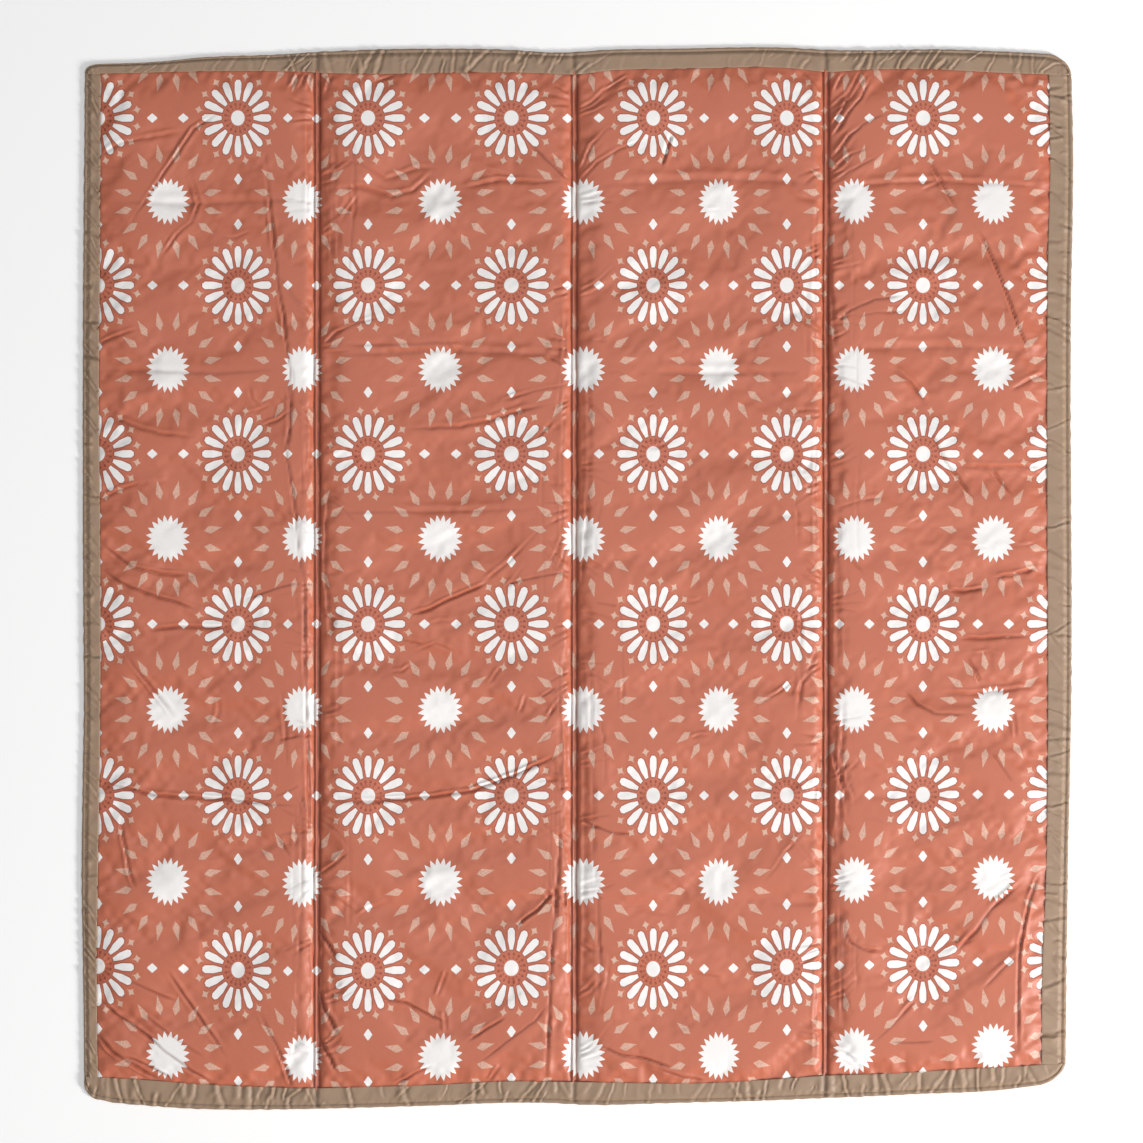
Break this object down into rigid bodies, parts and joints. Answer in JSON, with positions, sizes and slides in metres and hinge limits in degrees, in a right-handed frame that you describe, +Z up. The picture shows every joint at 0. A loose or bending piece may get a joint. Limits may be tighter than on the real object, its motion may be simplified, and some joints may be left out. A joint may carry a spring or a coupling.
{
  "type": "folding picnic blanket",
  "caption": "Padded ground blanket with a printed face, a wide sewn binding and sewn fold lines, laid flat; its panels fold face to face.",
  "frame": {"origin": "centre of the underside, on the ground", "axes": "+Z up out of the printed face, +X across the panels from panel 1 to panel 4, +Y along the fold lines"},
  "size_m": [1.42, 1.52, 0.0093],
  "materials": {
    "printed_face": "satin",
    "wadding": "matte",
    "backing": "satin",
    "binding": "matte",
    "fold_thread": "matte",
    "binding_thread": "matte"
  },
  "bodies": {
    "panel_2": {"face_2": "printed_face", "wadding_2": "wadding", "backing_2": "backing", "binding_far_2": "binding", "binding_near_2": "binding", "stitching_far_2": "binding_thread", "stitching_near_2": "binding_thread", "fold_strip_left": "printed_face", "fold_strip_centre": "printed_face", "fold_stitching_left_b": "fold_thread", "fold_stitching_centre_a": "fold_thread"},
    "panel_1": {"face_1": "printed_face", "wadding_1": "wadding", "backing_1": "backing", "binding_far_1": "binding", "binding_near_1": "binding", "stitching_far_1": "binding_thread", "stitching_near_1": "binding_thread", "binding_left": "binding", "stitching_left": "binding_thread", "fold_stitching_left_a": "fold_thread"},
    "panel_3": {"face_3": "printed_face", "wadding_3": "wadding", "backing_3": "backing", "binding_far_3": "binding", "binding_near_3": "binding", "stitching_far_3": "binding_thread", "stitching_near_3": "binding_thread", "fold_strip_right": "printed_face", "fold_stitching_centre_b": "fold_thread", "fold_stitching_right_a": "fold_thread"},
    "panel_4": {"face_4": "printed_face", "wadding_4": "wadding", "backing_4": "backing", "binding_far_4": "binding", "binding_near_4": "binding", "stitching_far_4": "binding_thread", "stitching_near_4": "binding_thread", "binding_right": "binding", "stitching_right": "binding_thread", "fold_stitching_right_b": "fold_thread"}
  },
  "joints": [
    {"name": "fold_left", "type": "hinge", "parent": "panel_2", "child": "panel_1", "pos_m": [-0.37, 0, 0.013], "axis": [0, 1, 0], "range_deg": [0, 180]},
    {"name": "fold_centre", "type": "hinge", "parent": "panel_2", "child": "panel_3", "pos_m": [0, 0, 0.027], "axis": [0, -1, 0], "range_deg": [0, 180]},
    {"name": "fold_right", "type": "hinge", "parent": "panel_3", "child": "panel_4", "pos_m": [0.362, 0, 0.013], "axis": [0, -1, 0], "range_deg": [0, 180]}
  ]
}
